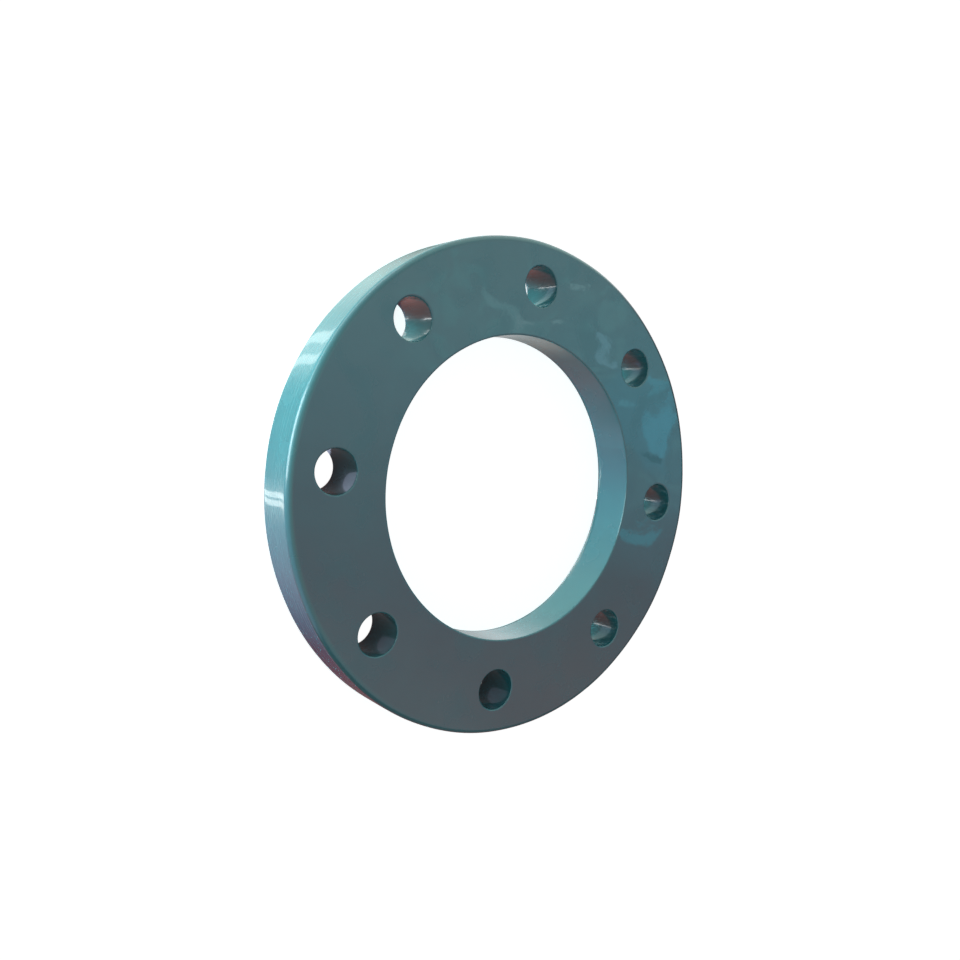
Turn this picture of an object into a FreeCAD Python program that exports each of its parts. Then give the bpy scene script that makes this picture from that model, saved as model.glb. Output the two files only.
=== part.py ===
import FreeCAD, Part
import math
import os
import Sketcher

# Lap joint flange
# A loose ring, 220 across, that backs the stub end of a plastic pipe, moulded in one piece.
# It lies on its lap face, the one that bears on the stub end's collar, with its axis along +Z.
# The origin is the centre of the lap face. Lengths are in millimetres.

NODE = "flange_ring"

# Each driving size: its name, its value and what it measures
SIZES = [
    ("BoreDiameter", 135, "plain bore around the neck of the stub end"),
    ("BoltCircleDiameter", 180, "circle through the centres of the bolt holes"),
    ("BoltHoleDiameter", 18, "straight wall of a bolt hole, for an M16 bolt"),
    ("BoltHoleCount", 8, "bolt holes, evenly spaced"),
    ("RimWall", 11, "least wall from a bolt hole to the rim"),
    ("Thickness", 24, "lap face to bolting face"),
    ("RimRadius", 3, "round on both outer edges of the rim"),
    ("LapRadius", 6, "round of the bore into the lap face, clear of the stub end's fillet"),
    ("BoreEdgeRadius", 0.8, "round of the bore into the bolting face"),
    ("BoltMouthRadius", 0.5, "round of each bolt hole into the bolting face"),
    ("LapMouthRadius", 3.5, "round of each bolt hole into the lap face"),
]

# The distance of the rim from the ring's axis
RIM_DISTANCE = "(Sizes.BoltCircleDiameter + Sizes.BoltHoleDiameter) / 2 + Sizes.RimWall"

# The points of a sketch edge, as constraints number them
START, END, CENTRE = 1, 2, 3
# The sketch's own horizontal axis, whose start is the sketch's origin
LEVEL_AXIS = -1
# The quadrants of a circle, counterclockwise
UPPER_RIGHT, UPPER_LEFT, LOWER_LEFT, LOWER_RIGHT = range(4)
QUARTER_TURN = math.pi / 2
FULL_TURN = 360


def make_sheet(doc):
    """The spreadsheet of driving sizes, a row each: what it measures, and its value."""
    sheet = doc.addObject("Spreadsheet::Sheet", "Sizes")
    for row, (alias, value, meaning) in enumerate(SIZES, start=1):
        sheet.set(f"A{row}", meaning)
        sheet.set(f"B{row}", str(value))
        sheet.setAlias(f"B{row}", alias)
    doc.recompute()
    return sheet


def origin_feature(body, role):
    """The plane or axis of the body's own origin that has this role."""
    return next(f for f in body.Origin.OriginFeatures if f.Role == role)


def radial_sketch(body, name):
    """A sketch on the body's XZ plane: x is the distance from the ring's axis, y the height."""
    sketch = body.newObject("Sketcher::SketchObject", name)
    sketch.AttachmentSupport = (origin_feature(body, "XZ_Plane"), [""])
    sketch.MapMode = "FlatFace"
    return sketch


def add_line(sketch, start, end, construction=False):
    """A straight edge from one point to another."""
    segment = Part.LineSegment(FreeCAD.Vector(*start), FreeCAD.Vector(*end))
    return sketch.addGeometry(segment, construction)


def add_quarter(sketch, centre, radius, quadrant):
    """The quarter circle in one quadrant about its centre. It runs counterclockwise."""
    circle = Part.Circle(FreeCAD.Vector(*centre), FreeCAD.Vector(0, 0, 1), radius)
    begin = quadrant * QUARTER_TURN
    return sketch.addGeometry(Part.ArcOfCircle(circle, begin, begin + QUARTER_TURN))


def relate(sketch, kind, *references):
    """A constraint that has no size of its own, such as Tangent or Vertical."""
    sketch.addConstraint(Sketcher.Constraint(kind, *references))


def drive(sketch, name, formula, kind, *references):
    """A named dimension of the sketch, bound to the spreadsheet by a formula."""
    start_value = sketch.evalExpression(formula)
    index = sketch.addConstraint(Sketcher.Constraint(kind, *references, start_value))
    sketch.renameConstraint(index, name)
    sketch.setExpression(f"Constraints.{name}", formula)


def ring_section(body, sheet):
    """The ring cut through on one side: four flat faces joined by four tangent rounds."""
    sketch = radial_sketch(body, "RingSection")
    bore, rim = sheet.BoreDiameter / 2, sketch.evalExpression(RIM_DISTANCE)
    top, rim_round = sheet.Thickness, sheet.RimRadius
    lap_round, edge_round = sheet.LapRadius, sheet.BoreEdgeRadius

    lap_face = add_line(sketch, (bore + lap_round, 0), (rim - rim_round, 0))
    rim_lap = add_quarter(sketch, (rim - rim_round, rim_round), rim_round, LOWER_RIGHT)
    rim_wall = add_line(sketch, (rim, rim_round), (rim, top - rim_round))
    rim_bolting = add_quarter(sketch, (rim - rim_round, top - rim_round), rim_round, UPPER_RIGHT)
    bolting_face = add_line(sketch, (rim - rim_round, top), (bore + edge_round, top))
    bore_edge = add_quarter(sketch, (bore + edge_round, top - edge_round), edge_round, UPPER_LEFT)
    bore_wall = add_line(sketch, (bore, top - edge_round), (bore, lap_round))
    lap_corner = add_quarter(sketch, (bore + lap_round, lap_round), lap_round, LOWER_LEFT)

    outline = [lap_face, rim_lap, rim_wall, rim_bolting, bolting_face, bore_edge, bore_wall, lap_corner]
    for edge, following in zip(outline, outline[1:] + outline[:1]):
        relate(sketch, "Tangent", edge, END, following, START)
    for face in (lap_face, bolting_face):
        relate(sketch, "Horizontal", face)
    for wall in (rim_wall, bore_wall):
        relate(sketch, "Vertical", wall)
    relate(sketch, "PointOnObject", lap_face, START, LEVEL_AXIS)
    relate(sketch, "Equal", rim_lap, rim_bolting)

    drive(sketch, "BoreRadius", "Sizes.BoreDiameter / 2",
          "DistanceX", LEVEL_AXIS, START, bore_wall, END)
    drive(sketch, "RimDistance", RIM_DISTANCE,
          "DistanceX", LEVEL_AXIS, START, rim_wall, START)
    drive(sketch, "FaceHeight", "Sizes.Thickness",
          "DistanceY", LEVEL_AXIS, START, bolting_face, START)
    drive(sketch, "RimRound", "Sizes.RimRadius", "Radius", rim_lap)
    drive(sketch, "LapRound", "Sizes.LapRadius", "Radius", lap_corner)
    drive(sketch, "BoreEdgeRound", "Sizes.BoreEdgeRadius", "Radius", bore_edge)
    return sketch


def bolt_hole_section(body, sheet):
    """One bolt hole as it is cut: a straight wall that flares into both faces.

    The outline closes along the hole's own axis, and runs past each face by that mouth's radius.
    Its plane is turned half a pitch from the X axis, so the holes straddle both centre lines.
    """
    sketch = radial_sketch(body, "BoltHoleSection")
    ring_axis = FreeCAD.Vector(0, 1, 0)
    half_pitch = FreeCAD.Rotation(ring_axis, FULL_TURN / sheet.BoltHoleCount / 2)
    sketch.AttachmentOffset = FreeCAD.Placement(FreeCAD.Vector(), half_pitch)
    sketch.setExpression("AttachmentOffset.Rotation.Angle", "360 deg / Sizes.BoltHoleCount / 2")

    axis, top = sheet.BoltCircleDiameter / 2, sheet.Thickness
    wall = axis + sheet.BoltHoleDiameter / 2
    upper, lower = sheet.BoltMouthRadius, sheet.LapMouthRadius

    hole_axis = add_line(sketch, (axis, -lower), (axis, top + upper), construction=True)
    core = add_line(sketch, (axis, top + upper), (axis, -lower))
    below = add_line(sketch, (axis, -lower), (wall + lower, -lower))
    lower_rise = add_line(sketch, (wall + lower, -lower), (wall + lower, 0))
    lower_mouth = add_quarter(sketch, (wall + lower, lower), lower, LOWER_LEFT)
    hole_wall = add_line(sketch, (wall, lower), (wall, top - upper))
    upper_mouth = add_quarter(sketch, (wall + upper, top - upper), upper, UPPER_LEFT)
    upper_rise = add_line(sketch, (wall + upper, top), (wall + upper, top + upper))
    above = add_line(sketch, (wall + upper, top + upper), (axis, top + upper))

    relate(sketch, "Coincident", hole_axis, START, core, END)
    relate(sketch, "Coincident", hole_axis, END, core, START)
    relate(sketch, "Coincident", core, END, below, START)
    relate(sketch, "Coincident", below, END, lower_rise, START)
    relate(sketch, "Coincident", lower_rise, END, lower_mouth, END)
    relate(sketch, "Tangent", lower_mouth, START, hole_wall, START)
    relate(sketch, "Tangent", hole_wall, END, upper_mouth, END)
    relate(sketch, "Coincident", upper_mouth, START, upper_rise, START)
    relate(sketch, "Coincident", upper_rise, END, above, START)
    relate(sketch, "Coincident", above, END, core, START)
    for upright in (core, lower_rise, hole_wall, upper_rise):
        relate(sketch, "Vertical", upright)
    for level in (below, above):
        relate(sketch, "Horizontal", level)
    # Each mouth's arc meets its face flat, so its centre stands straight over or under that end
    relate(sketch, "Vertical", lower_mouth, CENTRE, lower_mouth, END)
    relate(sketch, "Vertical", upper_mouth, CENTRE, upper_mouth, START)
    relate(sketch, "PointOnObject", lower_mouth, END, LEVEL_AXIS)

    drive(sketch, "AxisDistance", "Sizes.BoltCircleDiameter / 2",
          "DistanceX", LEVEL_AXIS, START, core, START)
    drive(sketch, "HoleRadius", "Sizes.BoltHoleDiameter / 2",
          "DistanceX", core, START, hole_wall, START)
    drive(sketch, "FaceHeight", "Sizes.Thickness",
          "DistanceY", LEVEL_AXIS, START, upper_mouth, START)
    drive(sketch, "BoltMouth", "Sizes.BoltMouthRadius", "Radius", upper_mouth)
    drive(sketch, "LapMouth", "Sizes.LapMouthRadius", "Radius", lower_mouth)
    drive(sketch, "RunBelow", "Sizes.LapMouthRadius",
          "DistanceY", lower_rise, START, lower_rise, END)
    drive(sketch, "RunAbove", "Sizes.BoltMouthRadius",
          "DistanceY", upper_rise, START, upper_rise, END)
    return sketch


def make_ring(doc, sheet):
    """The moulded ring: the section turned about the axis, then the bolt holes cut round it."""
    body = doc.addObject("PartDesign::Body", NODE)
    body.Label = NODE
    body.Placement = FreeCAD.Placement()

    blank = body.newObject("PartDesign::Revolution", "Blank")
    blank.Profile = ring_section(body, sheet)
    blank.ReferenceAxis = (blank.Profile[0], ["V_Axis"])
    blank.Angle = FULL_TURN
    doc.recompute()

    hole = body.newObject("PartDesign::Groove", "BoltHole")
    hole.Profile = bolt_hole_section(body, sheet)
    hole.ReferenceAxis = (hole.Profile[0], ["Axis0"])
    hole.Angle = FULL_TURN
    doc.recompute()

    holes = body.newObject("PartDesign::PolarPattern", "BoltHoles")
    holes.Originals = [hole]
    holes.Axis = (origin_feature(body, "Z_Axis"), [""])
    holes.Angle = FULL_TURN
    holes.setExpression("Occurrences", "Sizes.BoltHoleCount")
    body.Tip = holes
    doc.recompute()

    check_cut(blank, hole, 1, sheet)
    check_cut(blank, holes, round(sheet.BoltHoleCount), sheet)
    return body


def check_cut(blank, cut, count, sheet):
    """Stops if less was removed than the straight walls of so many bolt holes."""
    straight = math.pi * (sheet.BoltHoleDiameter / 2) ** 2 * sheet.Thickness
    removed = blank.Shape.Volume - cut.Shape.Volume
    if removed < count * straight:
        raise RuntimeError(f"{cut.Label} removed {removed:.1f} cubic mm, too little for {count} holes")


def check_document(doc):
    """Stops if any object of the document failed or any solid is empty or not valid."""
    for item in doc.Objects:
        if "Invalid" in item.State or "Error" in item.State:
            raise RuntimeError(f"{item.Label} failed: {item.State}")
    for body in doc.findObjects("PartDesign::Body"):
        if body.Shape.isNull() or not body.Shape.isValid():
            raise RuntimeError(f"{body.Label} has no valid solid")
    for sketch in doc.findObjects("Sketcher::SketchObject"):
        if sketch.solve() != 0 or not sketch.FullyConstrained:
            raise RuntimeError(f"{sketch.Label} isn't fully constrained")


def main():
    doc = FreeCAD.newDocument("LapJointFlange")
    ring = make_ring(doc, make_sheet(doc))
    check_document(doc)
    os.makedirs("parts", exist_ok=True)
    ring.Shape.exportStep(f"parts/{ring.Label}.step")
    size = ring.Shape.optimalBoundingBox()
    print(f"{ring.Label}: {size.XLength:.1f} x {size.YLength:.1f} x {size.ZLength:.1f} mm,",
          f"{ring.Shape.Volume / 1000:.1f} cubic cm")


main()
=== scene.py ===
"""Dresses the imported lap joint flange: the moulded ring, its glossy plastic and a small white studio.

The ring lies on its lap face, as it would come to rest, and the camera looks down on its bolting face.
"""

import math

import bpy
import numpy as np
from bpy.props import FloatProperty, FloatVectorProperty, IntProperty, PointerProperty
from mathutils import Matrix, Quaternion, Vector


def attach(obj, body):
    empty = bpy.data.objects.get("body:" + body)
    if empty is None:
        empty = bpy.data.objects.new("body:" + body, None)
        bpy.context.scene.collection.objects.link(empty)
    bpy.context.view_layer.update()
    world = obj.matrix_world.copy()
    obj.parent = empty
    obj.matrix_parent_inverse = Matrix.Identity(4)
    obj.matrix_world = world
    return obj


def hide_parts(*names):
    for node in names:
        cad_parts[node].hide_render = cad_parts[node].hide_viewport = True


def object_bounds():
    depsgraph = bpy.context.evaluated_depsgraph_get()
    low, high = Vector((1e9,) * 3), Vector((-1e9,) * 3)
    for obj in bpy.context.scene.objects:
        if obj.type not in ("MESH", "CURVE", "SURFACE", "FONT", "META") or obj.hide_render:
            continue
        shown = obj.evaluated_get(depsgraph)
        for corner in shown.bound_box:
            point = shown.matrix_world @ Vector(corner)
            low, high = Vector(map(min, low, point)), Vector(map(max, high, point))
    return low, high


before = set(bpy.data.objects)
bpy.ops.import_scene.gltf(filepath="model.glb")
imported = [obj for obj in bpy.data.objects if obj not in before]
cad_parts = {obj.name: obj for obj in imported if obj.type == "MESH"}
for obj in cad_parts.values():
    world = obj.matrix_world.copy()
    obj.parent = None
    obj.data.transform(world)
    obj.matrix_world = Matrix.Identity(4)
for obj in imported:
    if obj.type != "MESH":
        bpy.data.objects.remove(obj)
CAD_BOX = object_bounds()

bl_info = {
    "name": "Lap joint flange dressing",
    "version": (1, 0, 0),
    "blender": (4, 5, 0),
    "location": "View3D > Sidebar > Flange",
    "description": "Builds the detailed moulded ring over the packed flange, with its plastic and a studio",
    "category": "Object",
}

MM = 0.001
PIECE = "moulded_ring"
NODE = "flange_ring"

# How far into the solid the moulded waves lie on average. The bore and the bolt holes are drawn that much
# narrower, so that their walls come out at their drawn size.
MEAN_DEPTH = 0.18 * MM
# The width of the narrow row of faces along each edge of a flat.
SUPPORT = 0.3 * MM
# Points that fall on the same spot of this grid become one.
WELD_GRID = 0.1 * 0.001 * MM
# The waves: the seed of their random draws, their number, and their least and greatest length in millimetres.
WAVE_SEED = 11
WAVE_COUNT = 26
WAVE_LENGTHS = (14, 60)

# How the plastic's marks change it. Rounds are paler everywhere and more so where scuffed, streaks and
# scuffs are rougher, a scuff takes some of the skin, and streaks and scratches show in the fine relief. A
# smear counts as this share of a scratch.
PALE_ROUNDS = 0.12
PALE_SCUFFS = 0.8
STREAK_ROUGHNESS = 0.10
SCUFF_ROUGHNESS = 0.30
SKIN_LOSS = 0.5
STREAK_RELIEF = 0.2
SCRATCH_RELIEF = -0.5
SMEAR_SHARE = 0.5
# The distances from the ring's axis between which the streaks of the rim's wall come in.
RIM_WALL = (104 * MM, 109 * MM)

# What gloss mirrors, as stops of an azimuth in degrees from +X towards +Y and a colour. Walls that are seen
# from above mirror the low ring, the rim the steep ring below it, and the bolting face the two rings above
# the horizon.
STEEP_RING = (
    (-180, (1.05, 1.20, 1.10)), (-165, (1.00, 1.15, 1.10)), (-147, (0.70, 0.85, 0.80)),
    (-134, (0.90, 1.00, 1.00)), (-118, (0.80, 0.90, 0.90)), (-110, (0.40, 0.40, 0.45)),
    (-60, (0.50, 0.65, 0.80)), (-27, (0.70, 0.75, 1.00)), (0, (0.60, 0.55, 0.80)),
    (22, (0.25, 0.20, 0.35)), (40, (0.20, 0.05, 0.10)), (75, (0.20, 0.10, 0.10)),
    (135, (0.10, 0.10, 0.10)), (150, (0.30, 0.30, 0.25)), (165, (0.70, 0.75, 0.70)),
    (180, (1.05, 1.20, 1.10)),
)
LOW_RING = (
    (-180, (1.00, 1.15, 1.10)), (-165, (0.95, 1.30, 1.25)), (-135, (1.25, 1.70, 1.70)),
    (-105, (1.20, 1.70, 1.90)), (-75, (1.05, 1.45, 1.85)), (-45, (1.00, 0.85, 1.30)),
    (-15, (1.00, 0.50, 0.75)), (15, (1.00, 0.25, 0.40)), (30, (0.80, 0.15, 0.20)),
    (55, (0.40, 0.10, 0.10)), (75, (0.60, 0.40, 0.35)), (105, (0.50, 0.50, 0.50)),
    (120, (0.70, 0.65, 0.65)), (135, (1.10, 1.05, 1.05)), (150, (1.30, 1.30, 1.30)),
    (180, (1.00, 1.15, 1.10)),
)
MIDDLE_RING = (
    (-180, (0.95, 0.95, 1.00)), (30, (0.90, 0.65, 0.70)), (75, (1.05, 0.40, 0.45)),
    (93, (1.05, 0.30, 0.30)), (102, (0.75, 0.15, 0.20)), (111, (0.75, 0.70, 0.90)),
    (120, (0.70, 1.00, 1.25)), (130, (1.00, 1.10, 1.20)), (150, (1.05, 1.05, 1.10)),
    (180, (0.95, 0.95, 1.00)),
)
HIGH_RING = (
    (-180, (1.05, 1.00, 1.00)), (30, (1.10, 0.80, 0.80)), (84, (1.30, 0.60, 0.65)),
    (93, (1.15, 0.30, 0.40)), (102, (1.05, 0.55, 0.65)), (111, (1.10, 0.70, 0.80)),
    (120, (1.20, 0.95, 1.10)), (130, (1.30, 1.25, 1.35)), (150, (1.40, 1.35, 1.40)),
    (180, (1.05, 1.00, 1.00)),
)
# The heights, as sines of the elevation, between which each ring gives way to the next one up.
STEEP_TO_LOW = (-0.81, -0.785)
LOW_TO_MIDDLE = (-0.1, 0.1)
MIDDLE_TO_HIGH = (0.66, 0.88)
# The two upper rings are dimmed to this level up to the first of these heights, and not from the second on.
# Their red is lowered a little throughout.
DIM_HEIGHTS = (0.45, 0.64)
DIM_LEVEL = 0.80
DIM_RED = 0.94

# Shapes round the ring that gloss mirrors: the azimuths and elevations between which they lie and the
# softness of their edges in degrees, then the colour. The first is the shade behind the far edge. The
# others are bright openings, and the brightest is the window on the ring's front round.
WINDOWS = (
    (-10, 140, -44, 28, 6, (0.20, 0.05, 0.05)),
    (-150, -93, 2, 32, 3, (1.5, 1.7, 1.7)),
    (-150, -93, -18, 2, 3, (3.4, 3.7, 3.8)),
    (-62, -8, -20, 38, 5, (1.1, 1.2, 1.6)),
    (148, 190, -10, 38, 4, (1.3, 1.6, 1.5)),
    (-190, -148, -10, 38, 4, (1.3, 1.6, 1.5)),
    (142, 160, -88, -69, 1, (4.0, 4.0, 4.0)),
    (-93, -62, 2, 30, 3, (1.8, 2.1, 2.2)),
    (-93, -62, -32, 3, 1.5, (8.4, 9.4, 10.0)),
    (-141, -134, -95, -52, 1.0, (2.8, 3.0, 2.9)),
    (-127, -121, -95, -52, 1.0, (3.2, 3.3, 3.2)),
    (-49, -45.6, -95, -54, 0.6, (5.0, 5.2, 5.2)),
    (-44.4, -41, -95, -54, 0.6, (5.0, 5.2, 5.2)),
)
# Pale wisps that the bolting face mirrors: the azimuths and elevations between which they lie, each with
# the softness of its ends in degrees, then how strong they are and their colour.
WISP_AZIMUTHS = (112, 140, 4)
WISP_ELEVATIONS = (40, 58, 2)
WISP_SHARE = 0.6
WISP_COLOUR = (1.2, 2.1, 2.1)
# Pale and dark panes that the bolting face mirrors: azimuth, elevation, half width, half height and turn in
# degrees, then the colour.
PANES = (
    (117.5, 43.2, 4.6, 2.6, 20, (0.66, 1.30, 1.75)),
    (117.0, 42.0, 2.3, 1.3, 10, (0.75, 2.6, 3.6)),
    (121.2, 43.2, 1.5, 0.5, 25, (0.75, 2.4, 3.2)),
    (119.5, 44.6, 0.7, 0.35, 0, (0.90, 2.5, 3.2)),
    (124.0, 45.7, 1.3, 0.35, 25, (1.60, 2.7, 3.3)),
    (114.4, 42.5, 0.5, 1.1, 0, (0.20, 0.35, 0.50)),
    (107.8, 42.4, 0.7, 0.8, 15, (0.60, 2.0, 2.6)),
    (129.0, 52.0, 2.4, 0.5, 10, (1.60, 2.4, 2.5)),
    (127.5, 51.3, 0.5, 0.3, 0, (2.20, 2.9, 3.0)),
    (126.9, 48.7, 0.7, 0.3, 30, (2.00, 2.8, 2.9)),
    (130.7, 47.0, 0.5, 0.3, 0, (2.00, 2.8, 2.9)),
)
# How far noise bends the panes, in degrees from one side to the other, and how their edges fade, as shares
# of their half width and half height.
PANE_BEND = 2.4
PANE_EDGE = (1.1, 0.85)

# The way to the picture's bottom left, how far along it the lower bolt holes begin, and the level along Y
# below which one of them is the picture's left one.
LOWER_WAY = (1.0, -0.4)
LOWER_LEVEL = 30 * MM
LEFT_LEVEL = -60 * MM

# The strip of painted shade on the floor under the lower bolt holes, darker where the ring's shade falls:
# the distances from the axis between which its inner and its outer edge fade, the softness of its ends,
# its colour where gloss mirrors it and its colour where light falls.
STRIP_INNER_EDGE = (72 * MM, 74 * MM)
STRIP_OUTER_EDGE = (108 * MM, 106 * MM)
STRIP_SOFTNESS = 20 * MM
SHADE_STRIP_MIRRORED = (0.12, 0.08, 0.08)
SHADE_STRIP_LIT = (0.1, 0.05, 0.05)
FLOOR_LIT = (0.8, 0.8, 0.8)

# Glowing cards under the bolt holes, which only gloss sees: painted reflections in the walls of the holes.
# Headings and spans are in degrees, and a heading is taken from +X towards +Y. Depths are below the
# floor, and the fans of the lower holes lie just above it.
CARD_HEADING = 27
FAN_SPAN = 150
LEFT_FAN_EXTRA = 20
DISC_RADIUS = 30 * MM
FAN_RADIUS = 13 * MM
FLOOR_FAN_RADIUS = 11 * MM
LEFT_FAN_RADIUS = 12.4 * MM
GLINT_START = 7 * MM
GLINT_END = 20 * MM
GLINT_WIDTH = 1.4 * MM
CARD_DEPTH = 8 * MM
GLINT_DEPTH = 0.98 * CARD_DEPTH
FLOOR_FAN_DEPTH = -0.05 * MM
CARD_COLOURS = {
    "card_brown": (0.70, 0.28, 0.25),
    "card_grey_green": (0.35, 0.50, 0.50),
    "card_slate": (0.40, 0.36, 0.46),
    "card_bright": (7.0, 7.0, 7.0),
    "card_lilac": (0.85, 0.90, 1.20),
}

# The photograph's camera: focal length and sensor width in millimetres, place, aim, and roll in degrees.
LENS = 32.947
SENSOR = 36.0
CAMERA_PLACE = (0.08503, -0.23071, 0.32636)
CAMERA_AIM = (0.00627, -0.02115, 0.024)
CAMERA_ROLL = 98.03


# What a user may change

class RingSizes(bpy.types.PropertyGroup):
    """The ring's drawing sizes and the waviness of its faces."""

    outside_diameter: FloatProperty(
        name="Outside diameter", description="Across the rim",
        subtype="DISTANCE", unit="LENGTH", default=CAD_BOX[1].x - CAD_BOX[0].x)
    thickness: FloatProperty(
        name="Thickness", description="From the lap face to the bolting face",
        subtype="DISTANCE", unit="LENGTH", default=CAD_BOX[1].z - CAD_BOX[0].z)
    bore_diameter: FloatProperty(
        name="Bore diameter", description="The plain hole that clears the stub end's neck",
        subtype="DISTANCE", unit="LENGTH", default=135 * MM)
    bolt_circle_diameter: FloatProperty(
        name="Bolt circle", description="Diameter of the circle through the bolt holes' centres",
        subtype="DISTANCE", unit="LENGTH", default=180 * MM)
    bolt_hole_diameter: FloatProperty(
        name="Bolt hole diameter", description="The straight part of a bolt hole",
        subtype="DISTANCE", unit="LENGTH", default=18 * MM)
    bolt_hole_count: IntProperty(
        name="Bolt holes", description="How many holes stand round the bolt circle",
        default=8, min=3, max=24)
    rim_radius: FloatProperty(
        name="Rim round", description="Radius of the two edges of the rim",
        subtype="DISTANCE", unit="LENGTH", default=3 * MM)
    bore_edge_radius: FloatProperty(
        name="Bore edge round", description="Radius of the bore's edge on the bolting face",
        subtype="DISTANCE", unit="LENGTH", default=0.8 * MM)
    lap_radius: FloatProperty(
        name="Lap round", description="Radius of the bore's edge on the lap face, to clear the stub end",
        subtype="DISTANCE", unit="LENGTH", default=6 * MM)
    bolt_mouth_radius: FloatProperty(
        name="Bolt mouth round", description="Radius of a bolt hole's mouth on the bolting face",
        subtype="DISTANCE", unit="LENGTH", default=0.8 * MM)
    lap_mouth_radius: FloatProperty(
        name="Lap mouth round", description="Radius of a bolt hole's mouth on the lap face",
        subtype="DISTANCE", unit="LENGTH", default=3.5 * MM)
    wave_slope: FloatProperty(
        name="Moulded waviness", description="Typical slope of the soft waves that moulding leaves",
        default=0.008, min=0, max=0.05)


class RingFinish(bpy.types.PropertyGroup):
    """The plastic's colours and gloss."""

    plastic: FloatVectorProperty(
        name="Plastic", description="The plastic's own colour",
        subtype="COLOR", size=3, min=0, max=1, default=(0.040, 0.300, 0.335))
    deep: FloatVectorProperty(
        name="Deep patches", description="The plastic's colour where the melt flowed slowly",
        subtype="COLOR", size=3, min=0, max=1, default=(0.034, 0.262, 0.298))
    rubbed: FloatVectorProperty(
        name="Rubbed edges", description="The paler colour of edges rubbed in handling",
        subtype="COLOR", size=3, min=0, max=1, default=(0.085, 0.360, 0.390))
    roughness: FloatProperty(
        name="Roughness", description="Roughness of the clean plastic",
        subtype="FACTOR", min=0, max=1, default=0.24)
    skin: FloatProperty(
        name="Glossy skin", description="How strong the mould's polished skin is",
        subtype="FACTOR", min=0, max=1, default=0.6)


class StudioSettings(bpy.types.PropertyGroup):
    """The white studio round the ring."""

    floor_size: FloatProperty(
        name="Floor size", description="Side of the square floor",
        subtype="DISTANCE", unit="LENGTH", default=4.0)
    floor_white: FloatProperty(
        name="Floor white", description="How far the floor is white of itself, the rest being lit",
        subtype="FACTOR", min=0, max=1, default=0.86)
    room_light: FloatProperty(
        name="Room light", description="Level of the even light from all round", min=0, max=2, default=0.25)
    backdrop: FloatProperty(
        name="Backdrop level", description="How bright the pale surroundings are where gloss mirrors them",
        min=0, max=2, default=1.0)


# The ring's surface

def arc(centre, radius, start, stop, steps):
    """Points of a round in section: the centre plus the radius turned evenly from start to stop, in
    degrees."""
    turn = np.radians(np.linspace(start, stop, steps + 1))
    return np.stack([centre[0] + radius * np.cos(turn), centre[1] + radius * np.sin(turn)], axis=1)


def straight(start, stop, steps):
    """Points between two section points, the ends left out: start plus an even share of the way to stop."""
    share = np.linspace(0, 1, steps + 1)[1:-1, None]
    return np.asarray(start) * (1 - share) + np.asarray(stop) * share


def wall_section(top, bottom, steps=6):
    """Joins an upper and a lower round by a straight wall: the first, the points between, the second."""
    return np.concatenate([top, straight(top[-1], bottom[0], steps), bottom])


def swept(section, turn, centre):
    """Section points (radius, height) carried round an axis: x and y are the centre plus the radius times
    the cosine and sine of the turn, and z is the height. Gives a grid of section points by turns."""
    radius, height = section[:, 0, None], section[:, 1, None]
    x = centre[0] + radius * np.cos(turn)
    y = centre[1] + radius * np.sin(turn)
    return np.stack([x, y, np.broadcast_to(height, x.shape)], axis=-1)


def sector_outline(outer, inner, half_turn, steps):
    """One bolt hole's share of a flat face, seen from above and centred on +X: along the outer arc, in
    along a ray, back along the inner arc and out along the other ray. Complex numbers stand for x and y."""
    arc_steps, ray_steps, bore_steps = steps
    out_turn = np.linspace(-half_turn, half_turn, arc_steps + 1)[:-1]
    in_turn = np.linspace(half_turn, -half_turn, bore_steps + 1)[:-1]
    ray = np.linspace(outer, inner, ray_steps + 1)
    return np.concatenate([
        outer * np.exp(1j * out_turn),
        ray[:-1] * np.exp(1j * half_turn),
        inner * np.exp(1j * in_turn),
        ray[:0:-1] * np.exp(-1j * half_turn),
    ])


def flat_sector(mouth, outline, height, layers=12):
    """A flat patch ruled between a bolt hole's mouth and its sector's outline: each point is the mouth
    point plus a share of the way to the outline point. The first and last shares keep a narrow row at each
    edge."""
    narrow = SUPPORT / np.abs(outline - mouth)
    inner_share = np.linspace(0, 1, layers + 1)[:, None]
    share = narrow + inner_share * (1 - 2 * narrow)
    share = np.concatenate([np.zeros((1, len(mouth))), share, np.ones((1, len(mouth)))])
    flat = mouth + share * (outline - mouth)
    return np.stack([flat.real, flat.imag, np.full(flat.shape, height)], axis=-1)


def grid_quads(rows, columns, first, flip):
    """Corner numbers of the quads of a grid whose columns close on themselves, from the number of its first
    point on."""
    row, column = np.meshgrid(np.arange(rows - 1), np.arange(columns), indexing="ij")
    after = (column + 1) % columns
    quads = np.stack([
        row * columns + column,
        row * columns + after,
        (row + 1) * columns + after,
        (row + 1) * columns + column,
    ], axis=-1).reshape(-1, 4)
    return first + (quads[:, ::-1] if flip else quads)


def turned(grid, angle):
    """A grid turned about the ring's axis: x and y by the angle's cosine and sine, z as it is."""
    flat = (grid[..., 0] + 1j * grid[..., 1]) * np.exp(1j * angle)
    return np.stack([flat.real, flat.imag, grid[..., 2]], axis=-1)


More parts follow.
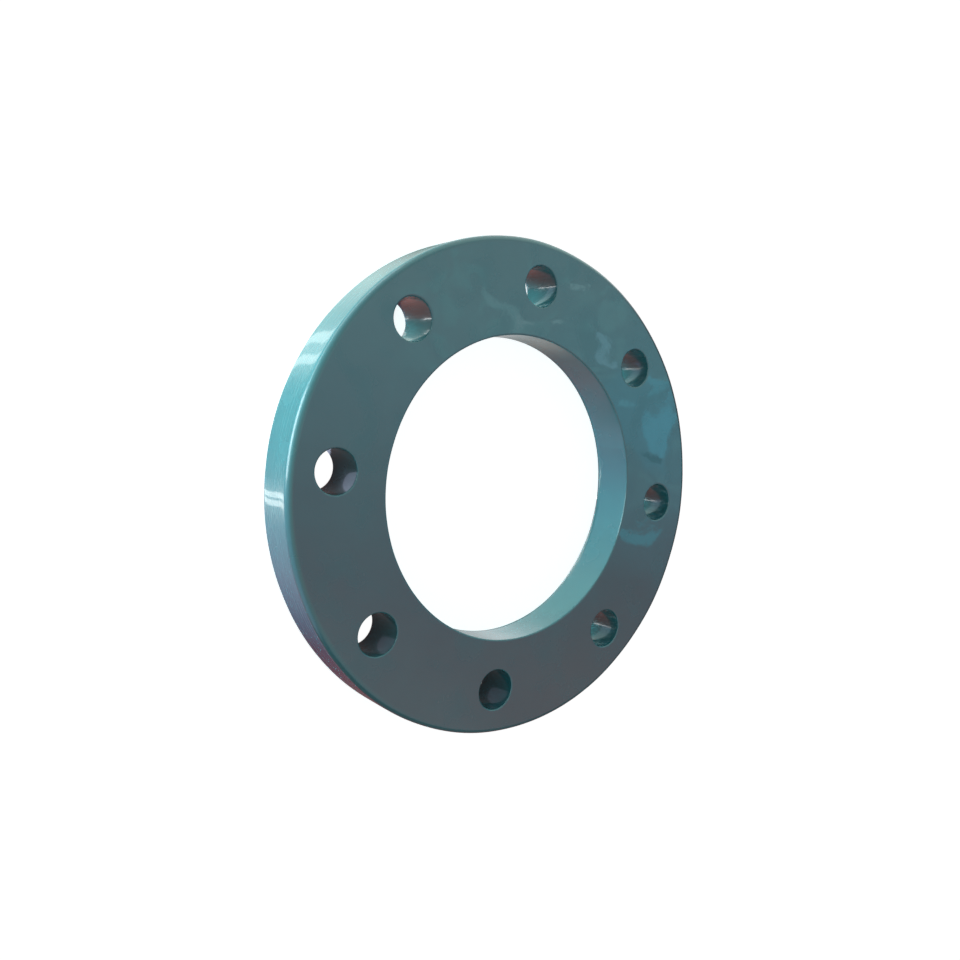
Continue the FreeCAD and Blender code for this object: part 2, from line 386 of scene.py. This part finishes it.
def ring_grids(sizes):
    """All the grids of the ring, each with whether its quads are flipped to face outwards: the rim and the
    bore, swept round the axis, and each bolt hole's share of the two faces and its wall, turned to its
    place."""
    outside = sizes.outside_diameter / 2
    bore = sizes.bore_diameter / 2 - MEAN_DEPTH
    hole = sizes.bolt_hole_diameter / 2 - MEAN_DEPTH
    top = sizes.thickness
    rim, edge, lap = sizes.rim_radius, sizes.bore_edge_radius, sizes.lap_radius
    mouth, lap_mouth = sizes.bolt_mouth_radius, sizes.lap_mouth_radius
    rim_section = wall_section(
        arc((outside - rim, top - rim), rim, 90, 0, steps=8),
        arc((outside - rim, rim), rim, 0, -90, steps=8))
    bore_section = wall_section(
        arc((bore + edge, top - edge), edge, 90, 180, steps=4),
        arc((bore + lap, lap), lap, 180, 270, steps=10))
    hole_section = wall_section(
        arc((hole + mouth, top - mouth), mouth, 90, 180, steps=6),
        arc((hole + lap_mouth, lap_mouth), lap_mouth, 180, 270, steps=8))

    count = sizes.bolt_hole_count
    circle = sizes.bolt_circle_diameter / 2
    full = 2 * math.pi
    half_turn = math.pi / count
    arc_steps, ray_steps, bore_steps = 48, 20, 36
    steps = (arc_steps, ray_steps, bore_steps)
    around = arc_steps + 2 * ray_steps + bore_steps
    rim_turn = np.arange(count * arc_steps) * full / (count * arc_steps)
    bore_turn = np.arange(count * bore_steps) * full / (count * bore_steps)
    hole_turn = (np.arange(around) - arc_steps / 2) * full / around
    upper = flat_sector(
        circle + (hole + mouth) * np.exp(1j * hole_turn),
        sector_outline(outside - rim, bore + edge, half_turn, steps), top)
    lower = flat_sector(
        circle + (hole + lap_mouth) * np.exp(1j * hole_turn),
        sector_outline(outside - rim, bore + lap, half_turn, steps), 0)
    wall = swept(hole_section, hole_turn, (circle, 0))

    grids = [(swept(rim_section, rim_turn, (0, 0)), True), (swept(bore_section, bore_turn, (0, 0)), False)]
    for number in range(count):
        angle = half_turn + number * full / count
        grids.append((turned(upper, angle), True))
        grids.append((turned(lower, angle), False))
        grids.append((turned(wall, angle), False))
    return grids


def welded(grids):
    """One set of points and quads from the grids: points that share a place, to a tenth of a micron, become
    one point."""
    points = np.concatenate([grid.reshape(-1, 3) for grid, _ in grids])
    firsts = np.cumsum([0] + [grid.shape[0] * grid.shape[1] for grid, _ in grids])
    quads = np.concatenate([
        grid_quads(grid.shape[0], grid.shape[1], first, flip)
        for (grid, flip), first in zip(grids, firsts)
    ])
    places = np.round(points / WELD_GRID)
    _, kept, same = np.unique(places, axis=0, return_index=True, return_inverse=True)
    return points[kept], same.reshape(-1)[quads]


def point_normals(points, quads):
    """Each point's normal: the quads' normals, as long as their areas are large, added up and made unit
    long."""
    corner = points[quads]
    across = np.cross(corner[:, 2] - corner[:, 0], corner[:, 3] - corner[:, 1])
    total = np.zeros_like(points)
    for side in range(4):
        np.add.at(total, quads[:, side], across)
    return total / np.linalg.norm(total, axis=1, keepdims=True)


def moulded_waves(points, slope):
    """The soft unevenness that cooling leaves in a thick moulding: a sum of sines of the point's place
    along fixed directions, each as high as its wavelength times a small slope. The sum is lowered by half
    of the greatest height that it could have, so that it lies in the solid."""
    rng = np.random.default_rng(WAVE_SEED)
    direction = rng.normal(size=(WAVE_COUNT, 3))
    direction /= np.linalg.norm(direction, axis=1, keepdims=True)
    length = rng.uniform(*WAVE_LENGTHS, WAVE_COUNT) * MM
    phase = rng.uniform(0, 2 * math.pi, WAVE_COUNT)
    height = slope * math.sqrt(2 / WAVE_COUNT) * length / (2 * math.pi)
    total = (height * np.sin(2 * math.pi * (points @ direction.T) / length + phase)).sum(axis=1)
    return total - height.sum() / 2


def mesh_object(name, points, faces):
    """A new smooth mesh object at the origin."""
    mesh = bpy.data.meshes.new(name)
    mesh.from_pydata(points.tolist(), [], faces.tolist())
    mesh.polygons.foreach_set("use_smooth", np.ones(len(mesh.polygons), dtype=bool))
    mesh.validate()
    mesh.update()
    made = bpy.data.objects.new(name, mesh)
    bpy.context.scene.collection.objects.link(made)
    return made


# Shader helpers

class Nodes:
    """Adds nodes to one tree, left to right, and links them."""

    def __init__(self, tree):
        self.tree = tree
        self.count = 0

    def add(self, kind, inputs=None, **settings):
        """A node of this kind, with its settings, and its inputs set or linked by name or number."""
        node = self.tree.nodes.new(kind)
        node.location = (220 * self.count, 0)
        self.count += 1
        for name, value in settings.items():
            setattr(node, name, value)
        for name, value in (inputs or {}).items():
            if isinstance(value, bpy.types.NodeSocket):
                self.tree.links.new(value, node.inputs[name])
            else:
                node.inputs[name].default_value = value
        return node

    def math(self, operation, *values, clamp=False):
        """A Math node's result."""
        node = self.add("ShaderNodeMath", dict(enumerate(values)), operation=operation, use_clamp=clamp)
        return node.outputs[0]

    def vector(self, operation, *values):
        """A Vector Math node's vector."""
        return self.add("ShaderNodeVectorMath", dict(enumerate(values)), operation=operation).outputs[0]

    def dot(self, vector, direction):
        """How far a vector points along a direction."""
        node = self.add("ShaderNodeVectorMath", {0: vector, 1: tuple(direction)}, operation="DOT_PRODUCT")
        return node.outputs["Value"]

    def length(self, vector):
        """How long a vector is."""
        return self.add("ShaderNodeVectorMath", {0: vector}, operation="LENGTH").outputs["Value"]

    def fade(self, value, low, high, to_low=0.0, to_high=1.0):
        """A smooth step of the value between two levels."""
        node = self.add("ShaderNodeMapRange", {
            "Value": value, "From Min": low, "From Max": high, "To Min": to_low, "To Max": to_high,
        }, interpolation_type="SMOOTHSTEP")
        return node.outputs["Result"]

    def band(self, value, low, high, soft):
        """One between two levels and nothing beyond them, with soft ends."""
        rising = self.fade(value, low - soft, low + soft)
        falling = self.fade(value, high + soft, high - soft)
        return self.math("MULTIPLY", rising, falling)

    def mix(self, share, first, second, blend="MIX"):
        """Two colours mixed."""
        node = self.add("ShaderNodeMix", data_type="RGBA", blend_type=blend)
        for number, value in ((0, share), (6, first), (7, second)):
            if isinstance(value, bpy.types.NodeSocket):
                self.tree.links.new(value, node.inputs[number])
            else:
                node.inputs[number].default_value = value if number == 0 else (*value, 1.0)
        return node.outputs[2]

    def ring(self, turn, stops):
        """A colour by azimuth through (degrees, colour) stops, where the turn runs from 0 at -180 to 1 at
        180."""
        node = self.add("ShaderNodeValToRGB", {0: turn})
        ramp = node.color_ramp
        for degrees, _ in stops[2:]:
            ramp.elements.new(degrees / 360 + 0.5)
        for element, (degrees, colour) in zip(ramp.elements, stops):
            element.position = degrees / 360 + 0.5
            element.color = (*colour, 1.0)
        return node.outputs["Color"]

    def mirrored(self, path):
        """One for the rays of gloss and of clear things, by a Light Path node, and nothing for others."""
        return self.math("MAXIMUM", path.outputs["Is Glossy Ray"], path.outputs["Is Transmission Ray"])


def new_material(name):
    """An empty material, and its Nodes helper."""
    material = bpy.data.materials.new(name)
    material.use_nodes = True
    material.node_tree.nodes.clear()
    return material, Nodes(material.node_tree)


def new_group(name, inputs, outputs):
    """An empty shader node group with these sockets, and its Nodes helper, input node and output node."""
    group = bpy.data.node_groups.new(name, "ShaderNodeTree")
    for socket, kind, default in inputs:
        made = group.interface.new_socket(socket, in_out="INPUT", socket_type=kind)
        if default is not None:
            made.default_value = default
    for socket, kind in outputs:
        group.interface.new_socket(socket, in_out="OUTPUT", socket_type=kind)
    nodes = Nodes(group)
    return group, nodes, nodes.add("NodeGroupInput"), nodes.add("NodeGroupOutput")


# The plastic

def mottle_group():
    """Soft cloudy patches left by the melt, from 0 to 1."""
    group, nodes, source, sink = new_group(
        "moulded_mottle",
        [("Vector", "NodeSocketVector", None), ("Scale", "NodeSocketFloat", 40.0),
         ("Contrast", "NodeSocketFloat", 1.0)],
        [("Mask", "NodeSocketFloat")])
    cloud = nodes.add("ShaderNodeTexNoise", {
        "Vector": source.outputs["Vector"], "Scale": source.outputs["Scale"],
        "Detail": 3.0, "Roughness": 0.5, "Distortion": 0.6})
    centred = nodes.math("SUBTRACT", cloud.outputs["Fac"], 0.5)
    mask = nodes.math("MULTIPLY_ADD", centred, source.outputs["Contrast"], 0.5, clamp=True)
    group.links.new(mask, sink.inputs["Mask"])
    return group


def streak_group():
    """Fine lines that run round the walls, because the pattern is squeezed along the ring's axis."""
    group, nodes, source, sink = new_group(
        "flow_streaks",
        [("Vector", "NodeSocketVector", None), ("Length", "NodeSocketFloat", 30.0),
         ("Closeness", "NodeSocketFloat", 900.0)],
        [("Height", "NodeSocketFloat"), ("Mask", "NodeSocketFloat")])
    squeeze = nodes.add("ShaderNodeCombineXYZ", {
        "X": source.outputs["Length"], "Y": source.outputs["Length"], "Z": source.outputs["Closeness"]})
    place = nodes.vector("MULTIPLY", source.outputs["Vector"], squeeze.outputs[0])
    lines = nodes.add("ShaderNodeTexNoise", {
        "Vector": place, "Scale": 1.0, "Detail": 4.0, "Roughness": 0.6})
    group.links.new(lines.outputs["Fac"], sink.inputs["Height"])
    group.links.new(nodes.fade(lines.outputs["Fac"], low=0.52, high=0.68), sink.inputs["Mask"])
    return group


def scuff_group():
    """Hair scratches and dull smears of handling, from 0 to 1. A scratch is a thin line along the edges of
    bent cells, and both lie in the thick patches of a soft noise."""
    group, nodes, source, sink = new_group(
        "handling_scuffs",
        [("Vector", "NodeSocketVector", None), ("Size", "NodeSocketFloat", 60.0),
         ("Amount", "NodeSocketFloat", 0.5)],
        [("Mask", "NodeSocketFloat"), ("Scratch", "NodeSocketFloat")])
    here = source.outputs["Vector"]
    bend = 12 * MM
    bent = nodes.add("ShaderNodeTexNoise", {"Vector": here, "Scale": 25.0, "Detail": 1.0})
    moved = nodes.vector("MULTIPLY_ADD", bent.outputs["Color"], (bend, bend, bend), here)
    cells = nodes.add("ShaderNodeTexVoronoi", {"Vector": moved, "Scale": source.outputs["Size"]},
                      feature="DISTANCE_TO_EDGE")
    hair = nodes.fade(cells.outputs["Distance"], low=0.006, high=0.0)
    patch = nodes.add("ShaderNodeTexNoise", {"Vector": here, "Scale": 70.0, "Detail": 3.0})
    where = nodes.fade(patch.outputs["Fac"], low=0.52, high=0.66)
    scratch = nodes.math("MULTIPLY", hair, where)
    smear = nodes.fade(patch.outputs["Fac"], low=0.45, high=0.75)
    both = nodes.math("MAXIMUM", scratch, nodes.math("MULTIPLY", smear, SMEAR_SHARE))
    group.links.new(nodes.math("MULTIPLY", both, source.outputs["Amount"]), sink.inputs["Mask"])
    group.links.new(scratch, sink.inputs["Scratch"])
    return group


def ring_plastic(finish):
    """The ring's plastic: cloudy colour, paler rubbed edges, streaked walls and a glossy skin with
    scuffs."""
    material, nodes = new_material("ring_plastic_moulded")
    place = nodes.add("ShaderNodeTexCoord")
    here = place.outputs["Object"]
    mottle = nodes.add("ShaderNodeGroup", node_tree=mottle_group())
    streaks = nodes.add("ShaderNodeGroup", node_tree=streak_group())
    scuffs = nodes.add("ShaderNodeGroup", node_tree=scuff_group())
    for effect in (mottle, streaks, scuffs):
        material.node_tree.links.new(here, effect.inputs["Vector"])
    mottle.inputs["Scale"].default_value = 32.0
    mottle.inputs["Contrast"].default_value = 1.8
    scuffed = scuffs.outputs["Mask"]

    # The normal's rise is 1 on the flats and 0 on the walls. Its square times what is left of 1, times four,
    # is 1 halfway round a round.
    up = nodes.add("ShaderNodeSeparateXYZ", {0: place.outputs["Normal"]}).outputs["Z"]
    up_square = nodes.math("MULTIPLY", up, up)
    side_square = nodes.math("SUBTRACT", 1.0, up_square)
    on_round = nodes.math("MULTIPLY", nodes.math("MULTIPLY", up_square, side_square), 4.0)
    out = nodes.length(nodes.vector("MULTIPLY", here, (1.0, 1.0, 0.0)))
    on_wall = nodes.fade(side_square, low=0.6, high=1.0)
    rim = nodes.math("MULTIPLY", on_wall, nodes.fade(out, *RIM_WALL))

    colour = nodes.mix(mottle.outputs["Mask"], finish.deep, finish.plastic)
    rub = nodes.math("MULTIPLY", on_round, nodes.math("MULTIPLY_ADD", scuffed, PALE_SCUFFS, PALE_ROUNDS))
    colour = nodes.mix(rub, colour, finish.rubbed)

    streak = nodes.math("MULTIPLY", streaks.outputs["Mask"], rim)
    streak_rough = nodes.math("MULTIPLY", streak, STREAK_ROUGHNESS)
    scuff_rough = nodes.math("MULTIPLY", scuffed, SCUFF_ROUGHNESS)
    rough = nodes.math("ADD", nodes.math("ADD", streak_rough, scuff_rough), finish.roughness)
    skin = nodes.math("MULTIPLY_ADD", scuffed, -SKIN_LOSS * finish.skin, finish.skin)

    peel = nodes.add("ShaderNodeTexNoise", {
        "Vector": here, "Scale": 420.0, "Detail": 2.0, "Roughness": 0.5})
    streak_height = nodes.math("MULTIPLY", streaks.outputs["Height"], rim)
    relief = nodes.math("MULTIPLY_ADD", streak_height, STREAK_RELIEF, peel.outputs["Fac"])
    relief = nodes.math("MULTIPLY_ADD", scuffs.outputs["Scratch"], SCRATCH_RELIEF, relief)
    bump = nodes.add("ShaderNodeBump", {"Strength": 0.25, "Distance": 0.02 * MM, "Height": relief})
    bumped = bump.outputs["Normal"]

    shader = nodes.add("ShaderNodeBsdfPrincipled", {
        "Base Color": colour, "Roughness": rough, "IOR": 1.5, "Normal": bumped,
        "Coat Weight": skin, "Coat Roughness": 0.015, "Coat IOR": 1.5, "Coat Normal": bumped,
    })
    nodes.add("ShaderNodeOutputMaterial", {"Surface": shader.outputs["BSDF"]})
    return material


# The studio

def heading(azimuth, elevation):
    """The unit direction at this azimuth from +X towards +Y and this elevation above the floor, in
    degrees."""
    turn, rise = math.radians(azimuth), math.radians(elevation)
    return Vector((math.cos(turn) * math.cos(rise), math.sin(turn) * math.cos(rise), math.sin(rise)))


def softbox(name, place, target, width, height, power):
    """An area light at this place that looks at the target and doesn't show in gloss."""
    data = bpy.data.lights.new(name, "AREA")
    data.shape = "RECTANGLE"
    data.size, data.size_y = width, height
    data.energy = power
    lamp = bpy.data.objects.new(name, data)
    lamp.visible_camera = False
    lamp.visible_glossy = False
    lamp.location = place
    lamp.rotation_mode = "QUATERNION"
    lamp.rotation_quaternion = (place - target).to_track_quat("Z", "Y")
    bpy.context.scene.collection.objects.link(lamp)


def make_lamps():
    """Three small lamps that look at the ring's middle: one low on the near side, one beside the rim and
    one under the bore."""
    middle = Vector((0, 0, 12 * MM))
    near = middle + heading(azimuth=-118, elevation=-35) * 0.28
    beside = middle + heading(azimuth=-82, elevation=0) * 0.17
    below = Vector((0, 0, -6 * MM))
    softbox("near_softbox", near, middle, width=0.12, height=0.12, power=0.35)
    softbox("rim_softbox", beside, middle, width=0.13, height=0.03, power=0.06)
    softbox("bore_softbox", below, middle, width=0.08, height=0.08, power=0.035)


def floor_material(settings):
    """A white floor that stays white in the picture but takes the ring's shadow. Like a glass table it lets
    the low lights shine up through it, and gloss looks through it at the surroundings. Both are blocked in
    a strip under the ring, beneath the lower bolt holes, that is painted shade: darker where light falls
    and where gloss mirrors it."""
    material, nodes = new_material("floor_white")
    here = nodes.add("ShaderNodeTexCoord").outputs["Object"]
    out = nodes.length(here)
    under = nodes.math("MULTIPLY", nodes.fade(out, *STRIP_INNER_EDGE), nodes.fade(out, *STRIP_OUTER_EDGE))
    across = nodes.dot(here, (*LOWER_WAY, 0))
    lower = nodes.fade(across, LOWER_LEVEL - STRIP_SOFTNESS, LOWER_LEVEL + STRIP_SOFTNESS)
    # The strip is painted shade under the lower bolt holes: darker where light falls and where gloss mirrors
    # it.
    shade_strip = nodes.math("MULTIPLY", under, lower)

    path = nodes.add("ShaderNodeLightPath")
    mirrored = nodes.mirrored(path)
    seen = nodes.math("MAXIMUM", path.outputs["Is Camera Ray"], mirrored)
    white = nodes.fade(shade_strip, 0.0, 1.0, to_low=settings.floor_white, to_high=1.0)
    own = nodes.add("ShaderNodeEmission", {
        "Color": nodes.mix(mirrored, (1.0, 1.0, 1.0), SHADE_STRIP_MIRRORED),
        "Strength": nodes.math("MULTIPLY", seen, white)})
    # Painted shade: the floor's own colour is darker in the strip under the lower bolt holes.
    lit = nodes.add("ShaderNodeBsdfDiffuse", {"Color": nodes.mix(shade_strip, FLOOR_LIT, SHADE_STRIP_LIT)})
    solid = nodes.add("ShaderNodeAddShader", {0: lit.outputs[0], 1: own.outputs[0]})
    through = nodes.math("MAXIMUM", mirrored, path.outputs["Is Shadow Ray"])
    through = nodes.math("MULTIPLY", through, nodes.math("SUBTRACT", 1.0, shade_strip))
    clear = nodes.add("ShaderNodeBsdfTransparent")
    both = nodes.add("ShaderNodeMixShader", {0: through, 1: solid.outputs[0], 2: clear.outputs[0]})
    nodes.add("ShaderNodeOutputMaterial", {"Surface": both.outputs[0]})
    return material


def make_floor(settings):
    """A square floor at the lap face's height."""
    half = settings.floor_size / 2
    corners = np.array([[-half, -half, 0], [half, -half, 0], [half, half, 0], [-half, half, 0]])
    floor = mesh_object("studio_floor", corners, np.array([[0, 1, 2, 3]]))
    floor.data.materials.append(floor_material(settings))
    return floor


def glowing(name, colour):
    """A material that shows one colour by its own light."""
    material, nodes = new_material(name)
    glow = nodes.add("ShaderNodeEmission", {"Color": (*colour, 1.0), "Strength": 1.0})
    nodes.add("ShaderNodeOutputMaterial", {"Surface": glow.outputs[0]})
    return material


def fan(start, stop, radius, steps):
    """The points and triangles of a flat fan: its centre, and even steps round its arc from start to stop,
    in degrees."""
    turn = np.radians(np.linspace(start, stop, steps + 1))
    points = np.concatenate([[[0, 0]], radius * np.stack([np.cos(turn), np.sin(turn)], axis=1)])
    step = np.arange(1, steps + 1)
    return points, np.stack([np.zeros_like(step), step, step + 1], axis=1)


def bar(angle, near, far, width):
    """The points and triangles of a thin flat bar that points away from the centre at this angle in
    degrees, from a near to a far distance."""
    turn = math.radians(angle)
    along = np.array([math.cos(turn), math.sin(turn)])
    across = np.array([-along[1], along[0]]) * width / 2
    first, last = near * along, far * along
    points = np.array([first - across, last - across, last + across, first + across])
    return points, np.array([[0, 1, 2], [0, 2, 3]])


def repeated(shape, centres, depth, reach):
    """The points and triangles of a flat shape repeated at each centre and laid at this depth below the
    floor. Each point's distance from the ring's axis is held between the two reaches."""
    flat, triangles = shape
    spots = (centres[:, None] + flat[None]).reshape(-1, 2)
    distance = np.linalg.norm(spots, axis=1)
    spots = spots * (np.clip(distance, *reach) / distance)[:, None]
    copies = np.arange(len(centres))[:, None, None]
    faces = (triangles[None] + len(flat) * copies).reshape(-1, 3)
    return np.concatenate([spots, np.full((len(spots), 1), -depth)], axis=1), faces


def make_cards(sizes):
    """Plain glowing shapes under the bolt holes that only gloss sees: painted reflections in the walls of the
    holes. Under the upper holes they lie a little below the floor: a half disc that the upper half of a wall
    mirrors, a smaller fan for the lower half, and a thin bright bar between the two for a painted glint.
    Under the lower holes a fan lies on the floor, wider and paler at the left one. No card reaches past the
    flat of the lap face, where the bore or the rim would mirror it."""
    count = sizes.bolt_hole_count
    place = np.radians(180 / count + 360 / count * np.arange(count))
    centres = sizes.bolt_circle_diameter / 2 * np.stack([np.cos(place), np.sin(place)], axis=1)
    is_lower = centres @ LOWER_WAY > LOWER_LEVEL
    is_left = is_lower & (centres[:, 1] < LEFT_LEVEL)
    edge = CARD_HEADING - 90
    half_disc = fan(edge, edge + 180, DISC_RADIUS, steps=24)
    small_fan = fan(edge - FAN_SPAN, edge, FAN_RADIUS, steps=20)
    floor_fan = fan(edge - FAN_SPAN, edge, FLOOR_FAN_RADIUS, steps=20)
    left_fan = fan(edge - FAN_SPAN, edge + LEFT_FAN_EXTRA, LEFT_FAN_RADIUS, steps=20)
    glint = bar(edge, GLINT_START, GLINT_END, GLINT_WIDTH)
    # Each shape glows in its colour and shows only as a painted reflection in the holes' walls.
    shapes = (
        (half_disc, ~is_lower, CARD_DEPTH, "card_brown"),
        (small_fan, ~is_lower, CARD_DEPTH, "card_grey_green"),
        (floor_fan, is_lower & ~is_left, FLOOR_FAN_DEPTH, "card_slate"),
        (glint, ~is_lower, GLINT_DEPTH, "card_bright"),
        (left_fan, is_left, FLOOR_FAN_DEPTH, "card_lilac"),
    )
    reach = (sizes.bore_diameter / 2 + sizes.lap_radius, sizes.outside_diameter / 2 - sizes.rim_radius)
    points, faces, slots = [], [], []
    for shape, chosen, depth, card in shapes:
        spots, triangles = repeated(shape, centres[chosen], depth, reach)
        faces.append(triangles + sum(len(made) for made in points))
        points.append(spots)
        slots.append(np.full(len(triangles), list(CARD_COLOURS).index(card), dtype=np.int32))
    cards = mesh_object("under_cards", np.concatenate(points), np.concatenate(faces))
    for card, colour in CARD_COLOURS.items():
        cards.data.materials.append(glowing(card, colour))
    cards.data.polygons.foreach_set("material_index", np.concatenate(slots))
    cards.visible_camera = False
    cards.visible_diffuse = False
    cards.visible_shadow = False
    return cards


def painted_rings(nodes, azimuth, height):
    """The four rings of colour, from the steep one at the bottom to the high one at the top."""
    turn = nodes.math("MULTIPLY_ADD", azimuth, 1 / (2 * math.pi), 0.5)
    is_low = nodes.fade(height, *STEEP_TO_LOW)
    below = nodes.mix(is_low, nodes.ring(turn, STEEP_RING), nodes.ring(turn, LOW_RING))
    is_high = nodes.fade(height, *MIDDLE_TO_HIGH)
    above = nodes.mix(is_high, nodes.ring(turn, MIDDLE_RING), nodes.ring(turn, HIGH_RING))
    level = nodes.fade(height, *DIM_HEIGHTS, to_low=DIM_LEVEL)
    red_level = nodes.math("MULTIPLY", level, DIM_RED)
    levels = nodes.add("ShaderNodeCombineXYZ", {0: red_level, 1: level, 2: level}).outputs[0]
    above = nodes.mix(1.0, above, levels, blend="MULTIPLY")
    return nodes.mix(nodes.fade(height, *LOW_TO_MIDDLE), below, above)


def with_windows(nodes, painted, degrees, rise):
    """The painted surroundings with each window laid over them, a soft rectangle in azimuth and
    elevation."""
    for left, right, low, high, soft, colour in WINDOWS:
        sideways = nodes.band(degrees, left, right, soft)
        upwards = nodes.band(rise, low, high, soft)
        painted = nodes.mix(nodes.math("MULTIPLY", sideways, upwards), painted, colour)
    return painted


def with_wisps(nodes, painted, way, degrees, rise):
    """The painted surroundings with pale wisps of noise laid over them, in one part of the sky."""
    cloud = nodes.add("ShaderNodeTexNoise", {
        "Vector": way, "Scale": 26.0, "Detail": 3.0, "Distortion": 1.2})
    wisps = nodes.fade(cloud.outputs["Fac"], low=0.50, high=0.62)
    wisps = nodes.math("MULTIPLY", wisps, nodes.band(degrees, *WISP_AZIMUTHS))
    wisps = nodes.math("MULTIPLY", wisps, nodes.band(rise, *WISP_ELEVATIONS))
    return nodes.mix(nodes.math("MULTIPLY", wisps, WISP_SHARE), painted, WISP_COLOUR)


def with_panes(nodes, painted, way, degrees, rise):
    """The painted surroundings with each pane laid over them, an ellipse in azimuth and elevation that
    noise bends. The noise is a half on average, so the panes are moved by half of the bend."""
    wobble = nodes.add("ShaderNodeTexNoise", {"Vector": way, "Scale": 45.0, "Detail": 2.0}).outputs["Color"]
    spot = nodes.add("ShaderNodeCombineXYZ", {0: degrees, 1: rise}).outputs[0]
    spot = nodes.vector("MULTIPLY_ADD", wobble, (PANE_BEND, PANE_BEND, 0), spot)
    moved = PANE_BEND / 2
    for azimuth, elevation, half_width, half_height, turn, colour in PANES:
        local = nodes.add("ShaderNodeMapping", {
            "Vector": spot, "Location": (azimuth + moved, elevation + moved, 0),
            "Rotation": (0, 0, math.radians(turn)), "Scale": (half_width, half_height, 1),
        }, vector_type="TEXTURE").outputs[0]
        from_middle = nodes.length(nodes.vector("MULTIPLY", local, (1, 1, 0)))
        painted = nodes.mix(nodes.fade(from_middle, *PANE_EDGE), painted, colour)
    return painted


def make_world(settings):
    """Even dim light, a white background for the camera, and pale tinted surroundings for gloss to
    mirror."""
    world = bpy.data.worlds.new("studio_surroundings")
    bpy.context.scene.world = world
    world.use_nodes = True
    world.node_tree.nodes.clear()
    world.cycles.sampling_method = "NONE"
    nodes = Nodes(world.node_tree)
    way = nodes.add("ShaderNodeTexCoord").outputs["Generated"]
    parts = nodes.add("ShaderNodeSeparateXYZ", {0: way})
    height = parts.outputs["Z"]
    azimuth = nodes.math("ARCTAN2", parts.outputs["Y"], parts.outputs["X"])
    degrees = nodes.math("MULTIPLY", azimuth, math.degrees(1))
    rise = nodes.math("MULTIPLY", nodes.math("ARCSINE", height), math.degrees(1))
    painted = painted_rings(nodes, azimuth, height)
    painted = with_windows(nodes, painted, degrees, rise)
    painted = with_wisps(nodes, painted, way, degrees, rise)
    painted = with_panes(nodes, painted, way, degrees, rise)

    path = nodes.add("ShaderNodeLightPath")
    mirrored = nodes.mirrored(path)
    more = settings.backdrop - settings.room_light
    level = nodes.math("ADD", nodes.math("MULTIPLY", mirrored, more), settings.room_light)
    colour = nodes.mix(mirrored, (0.95, 0.98, 1.0), painted)
    colour = nodes.mix(path.outputs["Is Camera Ray"], colour, (1.0, 1.0, 1.0))
    strength = nodes.math("MAXIMUM", level, path.outputs["Is Camera Ray"])
    back = nodes.add("ShaderNodeBackground", {"Color": colour, "Strength": strength})
    nodes.add("ShaderNodeOutputWorld", {"Surface": back.outputs[0]})


def make_camera():
    """The photograph's viewpoint: the camera looks down on the bolting face, and its roll stands the ring
    on its edge in the picture."""
    data = bpy.data.cameras.new("photo_camera")
    data.lens = LENS
    data.sensor_width = SENSOR
    data.clip_start, data.clip_end = 0.01, 20.0
    camera = bpy.data.objects.new("photo_camera", data)
    camera.location = CAMERA_PLACE
    roll = Quaternion((0, 0, 1), math.radians(CAMERA_ROLL))
    camera.rotation_mode = "QUATERNION"
    camera.rotation_quaternion = (camera.location - Vector(CAMERA_AIM)).to_track_quat("Z", "Y") @ roll
    bpy.context.scene.collection.objects.link(camera)
    bpy.context.scene.camera = camera


# Operators, panel and the run

class FLANGE_OT_ring(bpy.types.Operator):
    """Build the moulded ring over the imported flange"""

    bl_idname = "flange.make_ring"
    bl_label = "Moulded ring"

    def execute(self, context):
        sizes = context.scene.flange_sizes
        points, quads = welded(ring_grids(sizes))
        normals = point_normals(points, quads)
        points = points + normals * moulded_waves(points, sizes.wave_slope)[:, None]
        ring = mesh_object(PIECE, points, quads)
        even = ring.modifiers.new("even_shading", "WEIGHTED_NORMAL")
        even.mode = "FACE_AREA"
        even.keep_sharp = False
        ring.data.materials.append(ring_plastic(context.scene.flange_finish))
        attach(ring, "root")
        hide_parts(NODE)
        return {"FINISHED"}


class FLANGE_OT_studio(bpy.types.Operator):
    """Build the white floor, the surroundings, the lights and the camera"""

    bl_idname = "flange.make_studio"
    bl_label = "Studio"

    def execute(self, context):
        settings = context.scene.flange_studio
        make_floor(settings)
        make_cards(context.scene.flange_sizes)
        make_world(settings)
        make_lamps()
        make_camera()
        context.scene.view_settings.view_transform = "Standard"
        return {"FINISHED"}


class FLANGE_PT_sidebar(bpy.types.Panel):
    """Lists the ring's and the studio's settings and operators"""

    bl_idname = "FLANGE_PT_sidebar"
    bl_label = "Lap joint flange"
    bl_space_type = "VIEW_3D"
    bl_region_type = "UI"
    bl_category = "Flange"

    def draw(self, context):
        scene = context.scene
        groups = (
            (scene.flange_sizes, FLANGE_OT_ring),
            (scene.flange_finish, None),
            (scene.flange_studio, FLANGE_OT_studio),
        )
        for group, operator in groups:
            box = self.layout.box()
            for name in group.__annotations__:
                box.prop(group, name)
            if operator:
                box.operator(operator.bl_idname)


CLASSES = (RingSizes, RingFinish, StudioSettings, FLANGE_OT_ring, FLANGE_OT_studio, FLANGE_PT_sidebar)


def register():
    """Adds the classes and their settings to Blender."""
    for kind in CLASSES:
        bpy.utils.register_class(kind)
    bpy.types.Scene.flange_sizes = PointerProperty(type=RingSizes)
    bpy.types.Scene.flange_finish = PointerProperty(type=RingFinish)
    bpy.types.Scene.flange_studio = PointerProperty(type=StudioSettings)


def unregister():
    """Takes them out again."""
    del bpy.types.Scene.flange_studio
    del bpy.types.Scene.flange_finish
    del bpy.types.Scene.flange_sizes
    for kind in reversed(CLASSES):
        bpy.utils.unregister_class(kind)


def main():
    """Registers the add-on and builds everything."""
    register()
    bpy.ops.flange.make_ring()
    bpy.ops.flange.make_studio()


if __name__ == "__main__":
    main()
